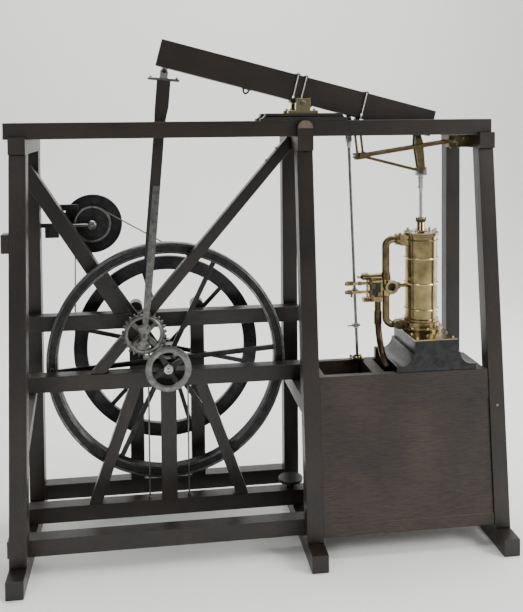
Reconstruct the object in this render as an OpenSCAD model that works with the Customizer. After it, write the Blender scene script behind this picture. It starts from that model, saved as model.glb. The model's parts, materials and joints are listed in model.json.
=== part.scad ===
// Model beam engine with sun and planet gear, in a raked timber frame.
// Millimetres, +Z up, +X to the cylinder end, -Y to the front.
// The beam, connecting rod and cylinder share the plane y = 0.
// Every piece is drawn in the photographed pose, with the rod end of the beam up.

/* [Timber frame] */
// side of the square timbers
timber = 28.5; // [20:0.5:40]
// centre distance of the left and middle posts
bay_left = 492.8; // [400:1:600]
// centre distance of the middle and right posts
bay_right = 336.2; // [280:1:420]
// height of the three sills
sill_h = 30; // [20:1:40]
// front face of the front posts where they stand on the sills
front_y = -119; // [-140:1:-100]
// backward lean of the front posts
rake = 6.5; // [0:0.1:8]
// front face of the rear posts
rear_y = 117; // [110:1:140]
// how far the sills reach in front of the posts
toe = 38; // [20:1:60]
// how far the sills reach behind the rear posts
heel = 10; // [5:1:60]
// underside of the top rails
rail_z = 724; // [700:1:760]
// height of the top rails
rail_h = 28; // [20:1:40]
// thickness of the top rails, front to back
rail_t = 24; // [18:0.5:30]
// gap between the two top rails, where the beam works
slot = 35; // [33:0.5:50]
// depth of the notches that seat the top rails on the cross rails
notch = 4; // [2:0.5:8]
// height of the cross rails below the top rails
cross_h = 29; // [20:1:34]
// how far the cross rails show in front of the front top rail
cross_nose = 8; // [4:1:14]
// how far the top rails run past the outer posts
rail_over = 9; // [0:1:20]
// front face of the trestle and its rails
trestle_y = 24; // [22:0.5:30]
// underside of the front middle rail
mid_z = 268.5; // [240:0.5:280]
// underside of the rear middle rail
rear_mid_z = 362; // [330:1:390]
// spread of the trestle feet on each side of the shaft
trestle_foot = 134; // [110:1:160]
// spread of the trestle heads on each side of the shaft
trestle_head = 60; // [45:1:80]
// width of the trestle legs
leg_w = 22; // [16:0.5:28]
// half distance between the two rear bearing posts
bearing_half = 59; // [50:1:80]
// width of the diagonal braces
brace_w = 20; // [14:1:34]

/* [Beam] */
// height of the trunnion axis
beam_z = 782.7; // [775:0.1:800]
// lean of the beam in the photographed pose, rod end up
beam_tilt = 14.6; // [0:0.1:17]
// reach of the beam from the trunnion to its rod end
beam_left = 268.5; // [262:0.5:280]
// reach of the beam from the trunnion to its cylinder end
beam_right = 249; // [242:0.5:260]
// depth of the beam
beam_d = 47.5; // [40:0.5:56]
// thickness of the beam
beam_t = 22; // [16:1:24]
// arm from the trunnion to the connecting rod pin
arm_rod = 251; // [240:1:258]
// arm from the trunnion to the main link pin
arm_piston = 229; // [215:1:235]
// arm from the trunnion to the back link pin
arm_back = 109.5; // [105:0.5:125]
// arm from the trunnion to the plug rod pin
arm_plug = 93; // [80:1:95]
// drop of the pins below the beam's underside line
pin_drop = 5.5; // [5:0.5:9]
// radius of the trunnion pin
trunnion_r = 4; // [3:0.1:6]
// radius of the small hinge pins
pin_r = 2.3; // [1.5:0.1:3]
// running clearance around pins and shafts
fit = 0.08; // [0.02:0.01:0.1]

/* [Sun and planet] */
// shaft axis, measured from the left post to the right
shaft_from_left = 249.5; // [230:0.5:270]
// height of the shaft axis
shaft_z = 306.5; // [303:0.5:320]
// radius of the shaft
shaft_r = 5; // [4:0.5:7]
// teeth of the sun wheel, and of the planet wheel
gear_teeth = 26; // [20:2:32]
// pitch radius of both gear wheels
gear_r = 38.4; // [34:0.1:42]
// thickness of the gear wheels
gear_t = 10; // [6:0.5:12]
// place of the planet wheel around the sun wheel, from +X towards +Z
planet_at = 123.5; // [90:0.5:150]
// radius of the plain flange in front of the sun wheel
flange_r = 41.4; // [40.8:0.1:44]

/* [Flywheel and belt wheel] */
// outer radius of the flywheel
fly_r = 221; // [200:1:228]
// radial depth of the flywheel rim
fly_rim = 20; // [14:1:26]
// width of the flywheel rim
fly_w = 20; // [12:1:24]
// middle plane of the flywheel
fly_y = 66; // [62:1:72]
// first flywheel spoke, from +X towards +Z
fly_spoke_at = 4; // [0:1:59]
// outer radius of the rear belt wheel
belt_wheel_r = 180; // [150:1:195]
// radial depth of the belt wheel rim
belt_rim = 26; // [18:1:32]
// first belt wheel spoke, from +X towards +Z
belt_spoke_at = 46; // [0:1:59]
// middle plane of the belt and its wheels
belt_y = 157; // [154:1:170]
// radius of the round belt
belt_r = 1.2; // [0.8:0.1:2]
// radius of the drum's belt pulley
pulley_r = 35; // [28:1:42]
// radius of the drum's large disc
drum_r = 57; // [44:1:60]
// drum axis, from the shaft axis to the left
drum_left = 140.5; // [130:0.5:150]
// drum axis, above the shaft axis
drum_up = 247; // [235:0.5:255]

/* [Cylinder and tank] */
// cylinder axis, measured from the middle posts to the right
cyl_from_mid = 227.7; // [222:0.1:232]
// outer radius of the cylinder
cyl_r = 29.5; // [28:0.5:34]
// bore radius of the cylinder
cyl_bore = 25; // [20:0.5:27]
// underside of the cylinder's foot
cyl_z = 360; // [354:1:366]
// height of the cylinder
cyl_h = 180; // [170:1:200]
// radius of the cylinder's top flange
cyl_flange_r = 32.5; // [32:0.5:38]
// radius of the piston rod
piston_rod_r = 3.3; // [2.5:0.1:4]
// upper edge of the tank
tank_z = 306; // [290:1:312]
// back face of the tank
tank_back = 18; // [16:1:20]
// thickness of the tank's boards
board = 12; // [8:0.5:16]
// half width of the plinth's block
plinth_half = 39.5; // [39:0.5:42]
// half width of the plinth's foot
plinth_foot = 73; // [68:1:76]
// height of the plinth's foot at its outer edge
plinth_edge = 10; // [6:0.5:14]
// radius of the hollow cove between the foot and the block
cove_r = 22; // [16:0.5:26]
// distance from the cylinder axis to the steam pipes
pipe_from_cyl = 68; // [60:1:80]

/* [Hidden] */
$fn = 48;
deg = 180 / PI;
mid_x = 0;
left_x = mid_x - bay_left;
right_x = mid_x + bay_right;
post_x = [left_x, mid_x, right_x];
half = timber / 2;
lean = tan(rake);
cross_z = rail_z + notch - cross_h;
top_z = rail_z + rail_h;
rear_end = rear_y + timber;
shaft_x = left_x + shaft_from_left;
drum_x = shaft_x - drum_left;
drum_z = shaft_z + drum_up;
cyl_x = mid_x + cyl_from_mid;
pipe_x = cyl_x - pipe_from_cyl;
plug_lean = 2.1;
link_len = 64;
// heights of the pipe ends and of the valve, from the cylinder
port_z = cyl_z + cyl_h - 10;
valve_z = cyl_z + 83.5;
foot_z = cyl_z + 11;
bed_t = 2.5;
tank_right = right_x - half - 4;
big = 1000;

function post_front(z) = front_y + (z - sill_h) * lean;
function post_back(z) = post_front(z) + timber;
// a point on the beam, u along it from the trunnion and v square to it
function on_beam(u, v) = [
    mid_x + u * cos(beam_tilt) + v * sin(beam_tilt),
    beam_z - u * sin(beam_tilt) + v * cos(beam_tilt)];

rod_pin = on_beam(-arm_rod, -pin_drop);
main_pin = on_beam(arm_piston, -pin_drop);
back_pin = on_beam(arm_back, -pin_drop);
plug_pin = on_beam(arm_plug, -pin_drop);
guide_x = plug_pin[0] + (plug_pin[1] - tank_z) * tan(plug_lean);
// the main and back links lean alike, so that the main link meets the piston rod
link_lean = asin((cyl_x - main_pin[0]) / link_len);
link_step = [link_len * sin(link_lean), -link_len * cos(link_lean)];
head_pin = main_pin + link_step;
knee_pin = back_pin + link_step;
planet_x = shaft_x + 2 * gear_r * cos(planet_at);
planet_z = shaft_z + 2 * gear_r * sin(planet_at);
rod_tilt = atan((planet_x - rod_pin[0]) / (rod_pin[1] - planet_z));
rod_len = norm([planet_x - rod_pin[0], planet_z - rod_pin[1]]);
bar_pin = [right_x - 50.5, rail_z - 12];
gear_y = 6;
arm_y = gear_y + gear_t + 1.5;
arm_t = 3;

wood = [0.23, 0.17, 0.13];
wood_light = [0.34, 0.26, 0.2];
brass = [0.78, 0.66, 0.42];
iron = [0.25, 0.25, 0.26];
steel = [0.6, 0.6, 0.6];

// Helpers

module box(x, y, z) {
    translate([x[0], y[0], z[0]]) cube([x[1] - x[0], y[1] - y[0], z[1] - z[0]]);
}

// flat profile in X and Z, carried from y[0] to y[1]
module plate_y(y) {
    translate([0, y[1], 0]) rotate([90, 0, 0]) linear_extrude(y[1] - y[0]) children();
}

// round bar along Y
module pin_y(p, y, r) {
    translate([p[0], y[0], p[1]]) rotate([-90, 0, 0]) cylinder(h = y[1] - y[0], r = r);
}

// straight board in the XZ plane from a to b
module board_xz(a, b, w, y) {
    run = b - a;
    translate([a[0], y[0], a[1]]) rotate([0, -atan2(run[1], run[0]), 0])
        translate([0, 0, -w / 2]) cube([norm(run), y[1] - y[0], w]);
}

// flat link with round eyes, in X and Z, with a bore at each end
module eye_bar(a, b, w, eye_r, y, bore_a, bore_b) {
    difference() {
        union() {
            board_xz(a, b, w, y);
            pin_y(a, y, eye_r);
            pin_y(b, y, eye_r);
        }
        if (bore_a > 0) pin_y(a, [y[0] - 1, y[1] + 1], bore_a);
        if (bore_b > 0) pin_y(b, [y[0] - 1, y[1] + 1], bore_b);
    }
}

// Frame

module sills() {
    color(wood) for (x = post_x)
        box([x - half, x + half], [front_y - toe, rear_end + heel], [0, sill_h]);
}

module front_posts() {
    color(wood) for (x = post_x)
        translate([x - half, 0, 0]) rotate([90, 0, 90]) linear_extrude(timber)
            polygon([[post_front(sill_h), sill_h], [post_back(sill_h), sill_h],
                     [post_back(cross_z), cross_z], [post_front(cross_z), cross_z]]);
}

module rear_posts() {
    color(wood) for (x = post_x)
        box([x - half, x + half], [rear_y, rear_end], [sill_h, cross_z]);
}

module cross_rails() {
    nose = -slot / 2 - rail_t - cross_nose;
    color(wood) {
        for (x = post_x)
            box([x - half, x + half], [nose, rear_end + 2], [cross_z, cross_z + cross_h]);
        // middle height rail that carries the right end of the front middle rail
        translate([mid_x - half, 0, 0]) rotate([90, 0, 90]) linear_extrude(timber)
            polygon([[post_back(mid_z - timber), mid_z - timber], [rear_y, mid_z - timber],
                     [rear_y, mid_z], [post_back(mid_z), mid_z]]);
        // round-headed block on the nose of the middle cross rail
        plate_y([nose, nose + cross_nose]) difference() {
            translate([mid_x, cross_z + cross_h + 11]) union() {
                circle(r = half);
                translate([-half, -11]) square([timber, 11]);
            }
            translate([mid_x - big, cross_z + cross_h - big]) square([2 * big, big]);
        }
    }
}

module top_rails() {
    color(wood) difference() {
        for (y = [-slot / 2 - rail_t, slot / 2])
            box([left_x - half - rail_over, right_x + half - 3], [y, y + rail_t],
                [rail_z, top_z]);
        for (x = post_x)
            box([x - half, x + half], [-100, 100], [rail_z - 1, rail_z + notch]);
    }
}

module front_rails() {
    far = mid_x + half;
    color(wood) {
        // ground rail behind the front posts
        box([left_x - half - 8, far], [post_back(2 * sill_h), post_back(2 * sill_h) + timber],
            [sill_h, sill_h + timber]);
        // lower rail under the trestle
        box([left_x - half, far], [trestle_y, trestle_y + timber], [sill_h, sill_h + timber]);
        // middle rail over the trestle
        box([left_x - half, far], [trestle_y, trestle_y + timber], [mid_z, mid_z + timber]);
    }
}

module rear_rails() {
    color(wood) {
        box([left_x - half, mid_x + half], [rear_y - timber, rear_y],
            [rear_mid_z, rear_mid_z + timber]);
        box([left_x + half, mid_x - half], [rear_y, rear_end], [sill_h, sill_h + timber]);
    }
}

module trestle_legs() {
    low = sill_h + timber;
    y = [trestle_y, trestle_y + timber];
    color(wood) {
        for (s = [-1, 1]) plate_y([y[0] + 2, y[1] - 2])
            polygon([[shaft_x + s * (trestle_foot - leg_w / 2), low],
                     [shaft_x + s * (trestle_foot + leg_w / 2), low],
                     [shaft_x + s * (trestle_head + leg_w / 2), mid_z],
                     [shaft_x + s * (trestle_head - leg_w / 2), mid_z]]);
        box([shaft_x - half, shaft_x + half], y, [low, mid_z]);
        // rear posts that carry the shaft's back bearing, with rounded heads
        for (s = [-1, 1]) plate_y([rear_y, rear_end]) {
            x = shaft_x + s * bearing_half;
            top = rear_mid_z + timber + 2;
            translate([x - 13, low]) square([26, top - low]);
            translate([x, top]) intersection() {
                circle(r = 13);
                translate([-13, 0]) square([26, 13]);
            }
        }
        box([shaft_x - bearing_half + 13, shaft_x + bearing_half - 13], [rear_y, rear_end - 4],
            [shaft_z - 34, shaft_z - 12]);
    }
}

module tie_rods() {
    color(steel) for (s = [-1, 1])
        translate([shaft_x + s * 36, trestle_y + half, sill_h + timber])
            cylinder(h = mid_z - sill_h - timber, r = 1.5);
}

module braces() {
    foot_l = [shaft_x - bearing_half - 13, rear_mid_z + timber];
    color(wood) {
        // rear plane, from the left post down to the rear middle rail
        difference() {
            board_xz([left_x - 10, 668], [shaft_x - 68, 365], 27, [rear_y - timber + 3, rear_y]);
            box([-big, big], [-big, big], [0, rear_mid_z + timber]);
            box([-big, left_x - half], [-big, big], [0, big]);
            box([-big, left_x + half], [rear_y - 1, big], [0, big]);
        }
        // trestle plane, from the middle cross rail down to the front middle rail
        difference() {
            board_xz([mid_x, 729], [shaft_x - 145, 275], brace_w,
                [trestle_y + 3, trestle_y + timber]);
            box([-big, big], [-big, big], [0, mid_z + timber]);
            box([mid_x - half, big], [-big, big], [0, big]);
            box([-big, big], [-big, big], [rail_z, big]);
        }
        // knee under the left end of the front middle rail
        translate([left_x - half, 0, 0]) rotate([90, 0, 90]) linear_extrude(timber)
            polygon([[post_back(228), 228], [post_back(200), 200],
                     [trestle_y + timber, mid_z], [trestle_y, mid_z]]);
        // short stub on the outer side of the left post
        box([left_x - half - 13, left_x - half], [post_front(566), post_back(534)], [534, 566]);
    }
}

// Bearings

module beam_bearers() {
    half_len = 78;
    h = 13;
    color(wood) for (y = [-slot / 2 - rail_t, slot / 2]) plate_y([y, y + rail_t])
        difference() {
            translate([mid_x - half_len, top_z]) square([2 * half_len, h]);
            for (s = [-1, 1]) translate([mid_x + s * half_len, top_z + h]) circle(r = 9);
        }
}

module trunnion_bearings() {
    base = top_z + 13;
    color(brass) for (s = [-1, 1]) {
        y = s * (slot / 2 + 6);
        difference() {
            union() {
                box([mid_x - 27, mid_x + 27], [y - 5.5, y + 5.5], [base, base + 5]);
                box([mid_x - 13, mid_x + 13], [y - 5.5, y + 5.5], [base + 5, beam_z + 9]);
            }
            pin_y([mid_x, beam_z], [y - 6, y + 6], trunnion_r + fit);
        }
    }
}

module shaft_bearings() {
    color(iron) {
        for (b = [[trestle_y + 2, trestle_y + 24, mid_z + timber],
                  [rear_y, rear_end - 4, shaft_z - 12]])
            difference() {
                box([shaft_x - 13, shaft_x + 13], [b[0], b[1]], [b[2], shaft_z + 12]);
                pin_y([shaft_x, shaft_z], [b[0] - 1, b[1] + 1], shaft_r + fit);
            }
    }
}

// Tank and plinth

module raked_board(x, z, t, set_back) {
    translate([x[0], 0, 0]) rotate([90, 0, 90]) linear_extrude(x[1] - x[0])
        polygon([[post_front(z[0]) + set_back, z[0]], [post_front(z[0]) + set_back + t, z[0]],
                 [post_front(z[1]) + set_back + t, z[1]], [post_front(z[1]) + set_back, z[1]]]);
}

module tank_front() {
    x = [mid_x + half, right_x - half];
    color(wood_light) {
        raked_board(x, [57, 256], board, 3);
        raked_board(x, [256, tank_z], board + 1.5, 1.5);
        raked_board(x, [37, 57], board + 1.5, 1.5);
    }
}

module tank_walls() {
    x0 = mid_x + half;
    x1 = tank_right;
    z0 = 37;
    color(wood) {
        box([x0, x1], [tank_back - board, tank_back], [z0, tank_z]);
        for (x = [x0, x1 - board]) translate([x, 0, 0]) rotate([90, 0, 90])
            linear_extrude(board)
            polygon([[post_front(z0) + board + 3, z0], [tank_back - board, z0],
                     [tank_back - board, tank_z], [post_front(tank_z) + board + 3, tank_z]]);
        translate([x0 + board, 0, 0]) rotate([90, 0, 90]) linear_extrude(x1 - x0 - 2 * board)
            polygon([[post_front(z0) + board + 3, z0], [tank_back - board, z0],
                     [tank_back - board, z0 + board],
                     [post_front(z0 + board) + board + 3, z0 + board]]);
    }
}

module tank_planks() {
    plank_w = 22;
    plank_t = 10;
    color(wood_light) {
        for (x = [guide_x + 19, cyl_x - 20, tank_right - board - 40])
            box([x - plank_w / 2, x + plank_w / 2],
                [post_front(tank_z) + board + 3, tank_back - board],
                [tank_z - plank_t, tank_z]);
        // small block on the back edge, behind the pipes
        box([pipe_x - 18, pipe_x - 6], [tank_back - board, tank_back], [tank_z, tank_z + 20]);
    }
}

module plinth() {
    front = post_front(tank_z) + 3.5;
    back = cyl_flange_r + 9.5;
    color(iron) plate_y([front, back]) translate([cyl_x, tank_z]) difference() {
        union() {
            translate([-plinth_half, 0]) square([2 * plinth_half, cyl_z - tank_z]);
            translate([-plinth_foot, 0]) square([2 * plinth_foot, plinth_edge + cove_r]);
        }
        for (s = [0, 1]) mirror([s, 0]) {
            translate([plinth_foot - 7, plinth_edge + cove_r]) circle(r = cove_r);
            translate([plinth_foot - 7, plinth_edge]) square([8, cove_r + 1]);
        }
    }
}

// Cylinder and pipes

module steam_cylinder() {
    port = port_z - cyl_z;
    color(brass) translate([cyl_x, 0, cyl_z]) difference() {
        union() {
            rotate_extrude() {
                square([cyl_r, cyl_h]);
                translate([0, bed_t]) square([plinth_half - 0.5, 5]);
                translate([0, bed_t + 5]) square([cyl_r + 4, 10]);
                translate([0, cyl_h - 3]) square([cyl_flange_r, 3]);
                for (z = [39, 87, 134]) translate([0, z]) square([cyl_r + 1.5, 3]);
            }
            // bed plate on the plinth
            box([-plinth_half, plinth_half], [post_front(tank_z) + 3.5, cyl_flange_r + 9.5],
                [0, bed_t]);
            // steam port that meets the upper pipe
            box([-cyl_r - 14, -cyl_bore - 1], [-10, 10], [port - 11, port + 9]);
            // exhaust port that meets the lower pipe
            box([-plinth_half, -cyl_bore - 1], [-9, 9], [bed_t - 1, bed_t + 18]);
        }
        translate([0, 0, bed_t + 6]) cylinder(h = cyl_h, r = cyl_bore);
    }
}

module cylinder_cover() {
    top = cyl_z + cyl_h;
    color(brass) translate([cyl_x, 0, top]) rotate_extrude() difference() {
        union() {
            square([cyl_flange_r, 3]);
            square([12, 5]);
            square([5.8, 21]);
            translate([0, 21]) square([6.6, 9]);
        }
        translate([0, -1]) square([piston_rod_r + fit, 60]);
    }
}

module upper_pipe() {
    r = 6.9;
    bend = 13;
    top = valve_z + 26;
    flange_x = cyl_x - cyl_r - 14;
    color(brass) {
        translate([pipe_x, 0, top]) cylinder(h = port_z - bend - top, r = r);
        translate([pipe_x + bend, 0, port_z - bend]) rotate([90, 0, 0])
            rotate_extrude(angle = -90) translate([-bend, 0]) circle(r = r);
        translate([pipe_x + bend, 0, port_z]) rotate([0, 90, 0])
            cylinder(h = flange_x - pipe_x - bend, r = r);
        translate([flange_x - 6, 0, port_z]) rotate([0, 90, 0]) cylinder(h = 6, r = 10.5);
        // collar that spreads towards the valve
        translate([pipe_x, 0, valve_z + 12]) rotate_extrude()
            polygon([[0, 0], [9, 0], [9, 3], [7.6, 14], [0, 14]]);
    }
}

module valve_chest() {
    x = pipe_x;
    z = valve_z;
    port_x = x + 7.5;
    color(brass) {
        difference() {
            pin_y([port_x, z], [-13, 12], 10.3);
            pin_y([port_x, z], [-14, -9], 6.7);
        }
        // body between the valve and the levers
        box([x - 34, x - 9], [-9, 9], [z - 21, z + 12]);
        box([x - 10, x + 2], [-5, 5], [z - 6, z + 6]);
        translate([x, 0, z - 17]) cylinder(h = 10, r = 8.5);
        translate([x, 0, z + 4]) cylinder(h = 8, r = 7);
        box([x - 44, x - 9], [-6, 6], [z - 28, z - 20]);
        translate([x - 44, 0, z + 18]) rotate([0, 90, 0]) cylinder(h = 34, r = 5.7);
        box([x - 30, x - 22], [-4, 4], [z + 11, z + 14]);
        box([x - 46, x - 34], [-5, 5], [z + 22, z + 25]);
        // spindle and its collar, to the cylinder's side
        translate([port_x + 9, 0, z]) rotate([0, 90, 0]) cylinder(h = 10, r = 6.5);
        translate([port_x + 10, 0, z]) rotate([0, 90, 0])
            cylinder(h = cyl_x - cyl_r - port_x - 10, r = 3.5);
    }
}

// levers beside the plug rod, which its tappets meet
module valve_levers() {
    x = pipe_x;
    z = valve_z;
    color(brass) for (low = [z - 10, z + 6])
        box([x - 76, x - 30], [-13, -9], [low, low + 5]);
}

module lower_pipe() {
    r = 6.6;
    bend = 14;
    side = cyl_x - plinth_half;
    color(brass) {
        translate([pipe_x, 0, foot_z + bend])
            cylinder(h = valve_z - 17 - foot_z - bend, r = r);
        translate([pipe_x + bend, 0, foot_z + bend]) rotate([90, 0, 0])
            rotate_extrude(angle = 90) translate([-bend, 0]) circle(r = r);
        translate([pipe_x + bend, 0, foot_z]) rotate([0, 90, 0])
            cylinder(h = side - pipe_x - bend, r = r);
        translate([side - 6, 0, foot_z]) rotate([0, 90, 0]) cylinder(h = 6, r = 10);
        pin_y([pipe_x + 19, foot_z + 2], [-14, 0], 7.5);
    }
}

module exhaust_pipe() {
    r = 6;
    sweep = 82;
    x = pipe_x - 13;
    z = tank_z + 79;
    color(brass) {
        translate([x, 8, z]) cylinder(h = valve_z - 28 - z, r = r);
        translate([x, 8, z - 14]) cylinder(h = 24, r = r + 1.2);
        // the foot sweeps forward, down to the tank
        translate([x, 8 - sweep, z]) rotate([90, 0, 90])
            rotate_extrude(angle = -76) translate([sweep, 0]) circle(r = r);
    }
}

module rod_guide() {
    color(brass) difference() {
        box([guide_x - 11, guide_x + 11], [-6, tank_back], [tank_z, tank_z + 5]);
        box([guide_x - 8, guide_x + 8], [-3.5, 3.5], [tank_z - 1, tank_z + 6]);
    }
}

module bar_bracket() {
    color(brass) {
        box([bar_pin[0] - 7, right_x - half], [-9, 9], [bar_pin[1] - 12, bar_pin[1] + 10]);
        pin_y(bar_pin, [-16, 16], pin_r);
    }
}

// Drum and belt

module drum_arms() {
    color(iron) difference() {
        union() {
            box([left_x - half, drum_x + 6], [rear_end, rear_end + 6], [drum_z - 4, drum_z + 4]);
            box([left_x + 20, left_x + 46], [rear_end, rear_end + 8], [drum_z - 24, drum_z]);
        }
        pin_y([drum_x, drum_z], [rear_end - 1, rear_end + 7], 3 + fit);
    }
}

// outline of an open belt around two wheels, set out by side from its middle line
function belt_line(side) =
    let (r1 = belt_wheel_r - 3 + side, r2 = pulley_r - 2 + side,
         run = [drum_x - shaft_x, drum_z - shaft_z],
         toward = atan2(run[1], run[0]), off = acos((r1 - r2) / norm(run)))
    concat([for (i = [0 : 60]) let (a = toward + off + i * (360 - 2 * off) / 60)
                [shaft_x + r1 * cos(a), shaft_z + r1 * sin(a)]],
           [for (i = [0 : 24]) let (a = toward - off + i * 2 * off / 24)
                [drum_x + r2 * cos(a), drum_z + r2 * sin(a)]]);

module drive_belt() {
    color(wood_light) plate_y([belt_y - belt_r, belt_y + belt_r]) difference() {
        polygon(belt_line(belt_r));
        polygon(belt_line(-belt_r));
    }
}

module round_plate() {
    color(iron) {
        translate([mid_x - 16, 38, sill_h + timber]) cylinder(h = 14, r = 8);
        translate([mid_x - 16, 38, sill_h + timber + 14]) cylinder(h = 5, r = 23);
    }
}

// Beam and rods

module beam_frame() {
    translate([mid_x, 0, beam_z]) rotate([0, beam_tilt, 0]) children();
}

module beam() {
    color(wood) beam_frame() difference() {
        box([-beam_left, beam_right], [-beam_t / 2, beam_t / 2], [1, 1 + beam_d]);
        pin_y([0, 0], [-beam_t, beam_t], trunnion_r);
    }
}

module beam_fittings() {
    color(iron) beam_frame() {
        pin_y([0, 0], [-slot / 2 - 13, slot / 2 + 13], trunnion_r);
        box([-20, 20], [-11, 11], [-3, 1]);
        for (u = [-arm_rod, arm_plug, arm_back, arm_piston]) {
            pin_y([u, -pin_drop], [-11, 11], pin_r);
            box([u - 4, u + 4], [-3, 3], [-pin_drop - 4, 1]);
        }
    }
}

module rod_frame() {
    translate([rod_pin[0], 0, rod_pin[1]]) rotate([0, -rod_tilt, 0]) children();
}

module connecting_rod() {
    color(wood) rod_frame()
        box([-10.5, 8.5], [-9, 2], [-rod_len + 138, -16]);
}

module rod_strap() {
    foot = -rod_len;
    color(brass) rod_frame() {
        for (s = [-1, 1]) difference() {
            union() {
                box([-7, 7], [s * 6.5 - 2, s * 6.5 + 2], [-16, 0]);
                pin_y([0, 0], [s * 6.5 - 2, s * 6.5 + 2], 6);
            }
            pin_y([0, 0], [-20, 20], pin_r + fit);
        }
        box([-28, 28], [-8.5, 8.5], [-16, -12]);
        // strap down the front of the rod, narrower at its foot
        plate_y([-11, -9]) polygon([[-4.5, foot + 18], [4.5, foot + 18], [6.5, foot + 60],
                                    [7, foot + 270], [-7, foot + 270], [-6.5, foot + 60]]);
        // plate that holds the planet wheel's pin
        box([-10, 10], [-11, -9], [foot - 20, foot + 20]);
        pin_y([0, foot], [-12, 2.5], 7);
    }
}

// Gear wheels

module gear_profile(turn) {
    pitch = 360 / gear_teeth;
    top = gear_r + 2.1;
    root = gear_r - 2.7;
    rotate(turn) polygon([for (i = [0 : gear_teeth - 1])
        each [for (p = [[-0.5, root], [-0.24, root], [-0.2, gear_r], [-0.12, top],
                        [0.12, top], [0.2, gear_r], [0.24, root]])
            p[1] * [cos((i + p[0]) * pitch), sin((i + p[0]) * pitch)]]]);
}

module spoked_disc(rim_in, hub_r, bore, spokes, spoke_w, at) {
    difference() {
        union() {
            difference() {
                children();
                circle(r = rim_in);
            }
            circle(r = hub_r);
            for (i = [0 : spokes - 1]) rotate(at + i * 360 / spokes)
                translate([0, -spoke_w / 2]) square([rim_in + 1, spoke_w]);
        }
        if (bore > 0) circle(r = bore);
    }
}

module planet_wheel() {
    color(iron) translate([planet_x, 0, planet_z])
        plate_y([gear_y, gear_y + gear_t])
            spoked_disc(28, 9, 3 + fit, 4, 8, 45)
                gear_profile(planet_at + 180 + 180 / gear_teeth);
}

module link_arm() {
    a = [shaft_x, shaft_z];
    b = [planet_x, planet_z];
    color(iron) {
        eye_bar(a, b, 9, 9, [arm_y, arm_y + arm_t], shaft_r + fit, 0);
        pin_y(b, [gear_y - 1, arm_y + 0.5], 3);
    }
}

module sun_wheel() {
    color(iron) translate([shaft_x, 0, shaft_z]) {
        plate_y([gear_y, gear_y + gear_t])
            spoked_disc(30, 9, shaft_r, 4, 8, 30) gear_profile(planet_at);
        plate_y([gear_y - 2, gear_y]) spoked_disc(30, 9, shaft_r, 4, 8, 30)
            circle(r = flange_r);
    }
}

module main_shaft() {
    color(steel) pin_y([shaft_x, shaft_z], [gear_y - 3, belt_y + 12], shaft_r);
}

// turned wheel about Z with six spokes: the children are its rim profile, beyond r_in
module wheel(r_in, hub_r, hub_w, spoke_w, spoke_t, at) {
    rotate(at - 30) difference() {
        union() {
            rotate_extrude($fn = 120) children();
            translate([0, 0, -hub_w / 2]) cylinder(h = hub_w, r = hub_r);
            for (i = [0 : 5]) rotate(30 + i * 60)
                translate([0, -spoke_w / 2, -spoke_t / 2]) cube([r_in + 1, spoke_w, spoke_t]);
        }
        translate([0, 0, -hub_w]) cylinder(h = 2 * hub_w, r = shaft_r);
    }
}

// rim profile with a groove for the round belt
module grooved(r_in, r, w) {
    g = belt_r + 0.5;
    polygon([[r_in, -w / 2], [r, -w / 2], [r, -g], [r - 3 - g, -g],
             [r - 3 - g, g], [r, g], [r, w / 2], [r_in, w / 2]]);
}

module flywheel() {
    r_in = fly_r - fly_rim;
    color(iron) translate([shaft_x, fly_y, shaft_z]) rotate([90, 0, 0])
        wheel(r_in, 16, 24, 9, 6, fly_spoke_at)
            // rim with a raised lip inside and outside
            difference() {
                translate([r_in, -fly_w / 2]) square([fly_rim, fly_w]);
                for (z = [-fly_w / 2 - 1, fly_w / 2 - 1.5])
                    translate([r_in + 3, z]) square([fly_rim - 6, 2.5]);
            }
}

module belt_wheel() {
    r_in = belt_wheel_r - belt_rim;
    color(iron) translate([shaft_x, belt_y, shaft_z]) rotate([90, 0, 0])
        wheel(r_in, 14, 18, 8, 5, belt_spoke_at) grooved(r_in, belt_wheel_r, 12);
}

module belt_drum() {
    color(iron) translate([drum_x, belt_y, drum_z]) rotate([90, 0, 0]) {
        rotate_extrude() grooved(0, pulley_r + 1, 8);
        translate([0, 0, -10]) cylinder(h = 6, r = drum_r);
        translate([0, 0, -14]) cylinder(h = 30, r = 3);
    }
}

// Piston rod and parallel motion

module piston_rod() {
    foot = cyl_z + 24;
    head = head_pin[1];
    color(steel) {
        translate([cyl_x, 0, 0]) rotate_extrude() polygon([
            [0, foot], [cyl_bore - fit, foot], [cyl_bore - fit, foot + 12],
            [piston_rod_r, foot + 12], [piston_rod_r, head - 38], [4.6, head - 29],
            [5.4, head - 7], [0, head - 7]]);
        box([cyl_x - 10, cyl_x + 10], [-4, 4], [head - 8, head + 8]);
    }
}

module main_link() {
    eye = 6;
    color(brass) translate([main_pin[0], 0, main_pin[1]]) rotate([0, -link_lean, 0])
        for (y = [[-8, -5], [5, 8]]) difference() {
            union() {
                // broad strap that narrows to the piston rod
                plate_y(y) polygon([[-eye, 0], [-8, -11], [-eye, -link_len],
                                    [eye, -link_len], [8, -11], [eye, 0]]);
                pin_y([0, 0], y, eye);
                pin_y([0, -link_len], y, eye);
            }
            pin_y([0, 0], [-9, 9], pin_r + fit);
        }
}

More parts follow.
